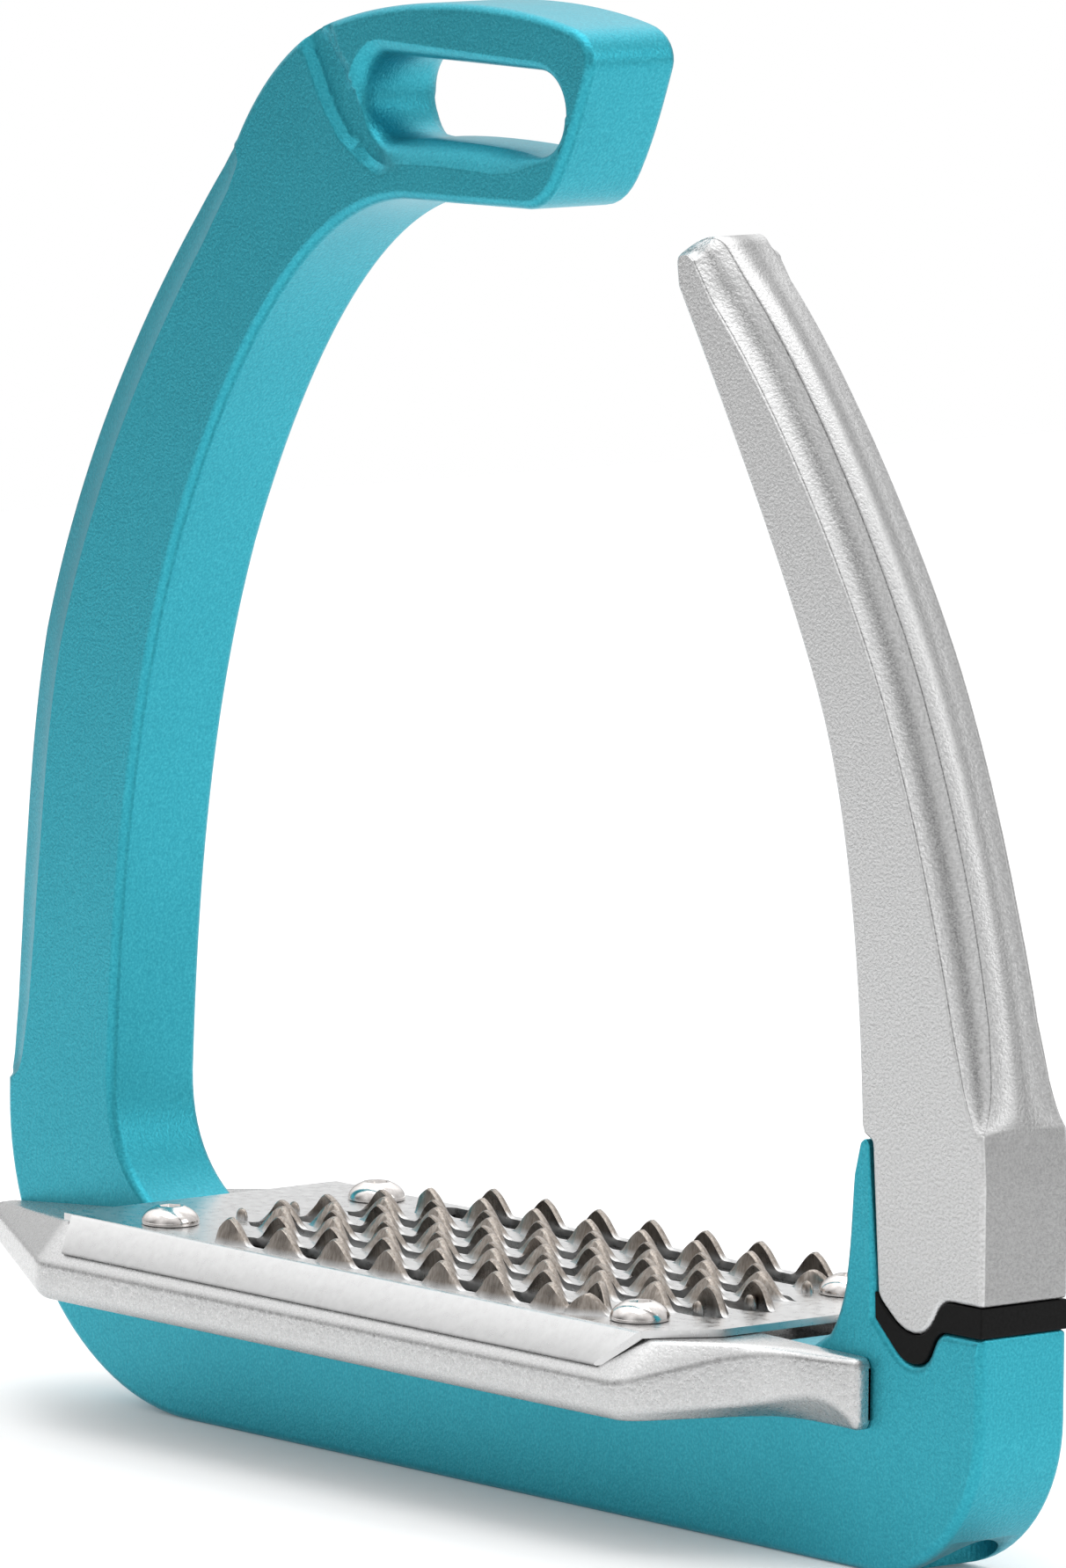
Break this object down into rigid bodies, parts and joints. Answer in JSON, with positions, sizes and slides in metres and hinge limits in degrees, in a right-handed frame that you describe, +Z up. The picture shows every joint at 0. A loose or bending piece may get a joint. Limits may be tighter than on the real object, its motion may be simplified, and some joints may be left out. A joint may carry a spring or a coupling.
{
  "type": "stirrup iron",
  "caption": "Safety stirrup: slotted eye, fixed branch and base in one frame, a toothed tread, and an outer arm that tilts open against a draw spring.",
  "frame": {"origin": "middle of the object's bounding box in plan, on the flat underside that it stands on", "axes": "+X from the fixed branch to the release arm, +Y from the front face to the rear face, +Z up through the eye"},
  "size_m": [0.1624, 0.045, 0.1571],
  "materials": {
    "frame_teal": "blasted and satin teal anodised aluminium",
    "cast_silver": "blasted natural aluminium, fine grain",
    "grip_steel": "dull satin stainless sheet",
    "hardware_steel": "bright stainless",
    "spring_steel": "drawn spring wire",
    "black_rubber": "matt black rubber"
  },
  "bodies": {
    "stirrup_frame": {"frame": "frame_teal", "seat_gasket": "black_rubber", "locating_dowel": "hardware_steel", "draw_spring": "spring_steel", "spring_anchor": "hardware_steel", "anchor_pin": "hardware_steel", "tread_tray": "cast_silver", "grip_plate": "grip_steel", "grip_screw_front_left": "hardware_steel", "grip_screw_rear_left": "hardware_steel", "grip_screw_front_right": "hardware_steel", "grip_screw_rear_right": "hardware_steel", "tray_screw_left": "hardware_steel", "tray_screw_middle": "hardware_steel", "tray_screw_right": "hardware_steel"},
    "arm": {"release_arm": "cast_silver", "arm_spring_pin": "hardware_steel"}
  },
  "joints": [
    {"name": "arm_tilt", "type": "hinge", "parent": "stirrup_frame", "child": "arm", "pos_m": [0.0814, 0, 0.02955], "axis": [0, 1, 0], "range_deg": [0, 170], "stiffness_Nm_per_rad": 0.3, "springref_deg": -57.3, "deforming": ["draw_spring"]}
  ]
}
